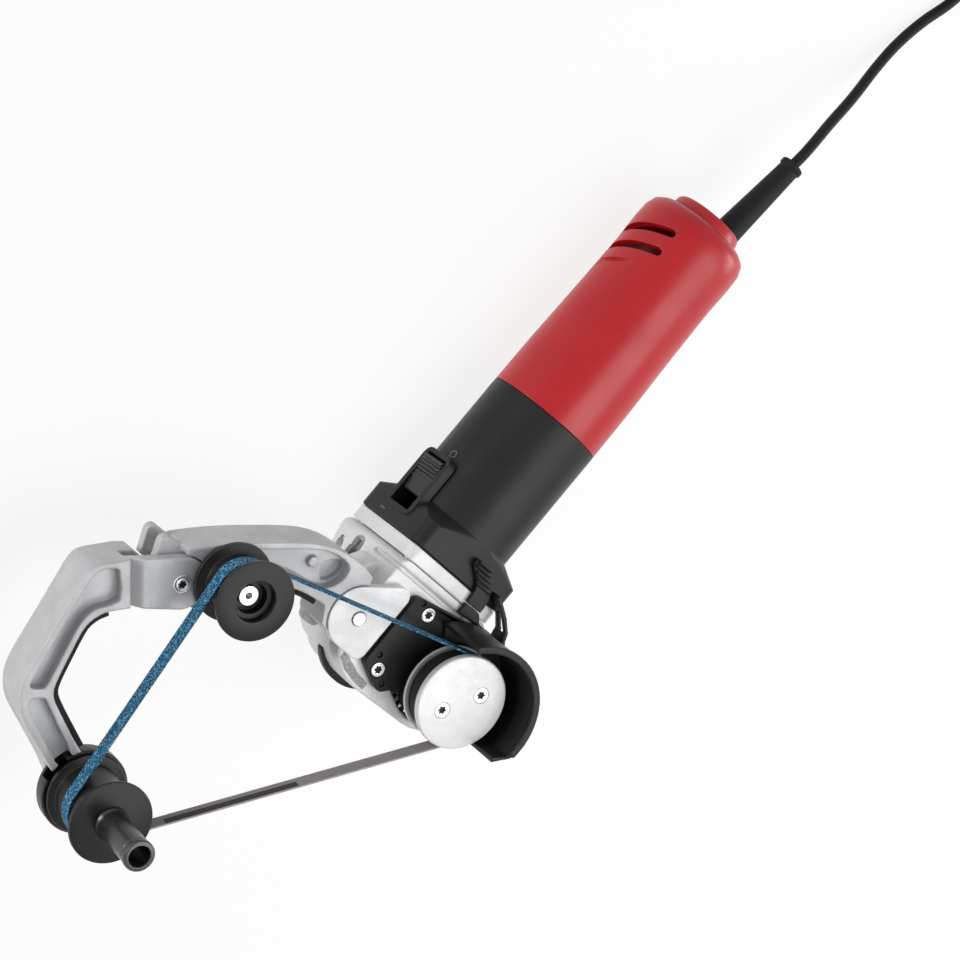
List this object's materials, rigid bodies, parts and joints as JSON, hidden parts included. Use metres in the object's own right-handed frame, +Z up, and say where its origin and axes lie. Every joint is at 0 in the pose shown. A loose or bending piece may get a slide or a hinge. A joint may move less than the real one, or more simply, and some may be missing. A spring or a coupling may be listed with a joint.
{
  "type": "pipe belt sander",
  "caption": "Handheld electric belt sander for pipes: motor barrel, angle gear head, hinged C-shaped belt arms with an open narrow belt, belt guard, knob and mains cord.",
  "frame": {"origin": "on the floor under the middle of the machine, cord left out", "axes": "+X along the motor from the gear head to the cord, +Y towards the belt arms, +Z up along the drive pulley axis"},
  "size_m": [0.7912, 0.2548, 0.1486],
  "materials": {
    "black_nylon": "fine-grained black moulded nylon",
    "red_nylon": "semi-gloss red moulded nylon",
    "grey_nylon": "dark grey moulded nylon",
    "cast_alloy": "light cast aluminium, fine blasted",
    "bare_alloy": "turned bare aluminium",
    "black_metal": "black coated metal",
    "black_wheel": "black turned wheel material, satin",
    "steel": "bare steel",
    "dark_steel": "dark steel and carbon",
    "core_steel": "stacked core laminations",
    "copper": "copper wire and segments",
    "rubber": "black rubber",
    "felt": "black felt",
    "blue_grit": "blue abrasive cloth, grit outside"
  },
  "bodies": {
    "machine": {"motor_housing": "black_nylon", "rear_cover": "red_nylon", "bearing_shield": "cast_alloy", "front_bearing": "steel", "rear_bearing": "steel", "stator_core": "core_steel", "winding_front": "copper", "winding_rear": "copper", "brush_upper": "dark_steel", "brush_lower": "dark_steel", "switch_block": "black_nylon", "gear_head": "cast_alloy", "head_screw_1": "steel", "head_screw_2": "steel", "head_screw_3": "steel", "bearing_plate": "black_metal", "plate_screw_1": "steel", "plate_screw_2": "steel", "plate_screw_3": "steel", "spindle_bearing_lower": "steel", "spindle_bearing_upper": "steel", "counter_bearing": "steel", "arm_root": "cast_alloy", "arm_pin": "steel", "tension_spring": "dark_steel", "belt_guard": "black_nylon", "cord_sleeve": "rubber", "power_cord": "rubber", "cord_coil": "rubber", "mains_plug": "rubber", "sanding_belt": "blue_grit"},
    "armature": {"armature_shaft": "steel", "rotor_core": "core_steel", "commutator": "copper", "cooling_fan": "black_nylon", "bevel_pinion": "steel"},
    "countershaft": {"countershaft": "steel", "crown_gear": "steel"},
    "spindle": {"output_spindle": "steel", "spur_gear": "steel", "drive_flange": "bare_alloy", "drive_drum": "rubber", "drive_disc": "bare_alloy", "disc_screw_1": "steel", "disc_screw_2": "steel"},
    "slider": {"switch_slider": "grey_nylon"},
    "latch": {"guard_latch": "black_nylon"},
    "arch_arm": {"arch_arm": "cast_alloy", "arch_felt": "felt", "idler_axle": "steel"},
    "idler": {"idler_wheel": "black_wheel"},
    "c_arm": {"c_arm": "cast_alloy", "c_arm_felt": "felt", "hinge_screw": "steel", "roller_cup": "black_wheel", "roller_axle": "steel", "roller_knob": "black_wheel"},
    "roller": {"end_roller": "black_wheel"}
  },
  "joints": [
    {"name": "armature_spin", "type": "hinge", "parent": "machine", "child": "armature", "pos_m": [0.0435, -0.0561, 0.0352], "axis": [1, 0, 0], "continuous": true},
    {"name": "countershaft_spin", "type": "hinge", "parent": "machine", "child": "countershaft", "pos_m": [-0.052, -0.0561, 0.0452], "axis": [0, 0, 1], "continuous": true},
    {"name": "spindle_spin", "type": "hinge", "parent": "machine", "child": "spindle", "pos_m": [-0.0565, -0.0881, 0.0752], "axis": [0, 0, 1], "continuous": true},
    {"name": "switch_slide", "type": "slide", "parent": "machine", "child": "slider", "axis": [-1, 0, 0], "range_m": [0, 0.008]},
    {"name": "latch_flex", "type": "hinge", "parent": "machine", "child": "latch", "pos_m": [-0.0125, -0.0741, 0.0707], "axis": [0, -1, 0], "range_deg": [0, 7], "stiffness_Nm_per_rad": 0.6},
    {"name": "arm_pivot", "type": "hinge", "parent": "machine", "child": "arch_arm", "pos_m": [-0.057, -0.0177, 0.0612], "axis": [0, 0, 1], "range_deg": [0, 3], "stiffness_Nm_per_rad": 20, "springref_deg": -5.73, "deforming": ["sanding_belt", "tension_spring"]},
    {"name": "idler_spin", "type": "hinge", "parent": "arch_arm", "child": "idler", "pos_m": [-0.0833, 0.0594, 0.0918], "axis": [0, 0, 1], "continuous": true},
    {"name": "c_arm_hinge", "type": "hinge", "parent": "arch_arm", "child": "c_arm", "pos_m": [-0.1005, 0.0811, 0.0612], "axis": [0, 0, 1], "range_deg": [0, 24], "deforming": ["sanding_belt"]},
    {"name": "roller_spin", "type": "hinge", "parent": "c_arm", "child": "roller", "pos_m": [-0.2157, 0.0431, 0.0918], "axis": [0, 0, 1], "continuous": true}
  ],
  "couplings": [
    {"joint": "countershaft_spin", "follows": "armature_spin", "ratio": -0.33333},
    {"joint": "spindle_spin", "follows": "armature_spin", "ratio": 0.13333},
    {"joint": "idler_spin", "follows": "armature_spin", "ratio": 0.20159},
    {"joint": "roller_spin", "follows": "armature_spin", "ratio": 0.19026}
  ]
}
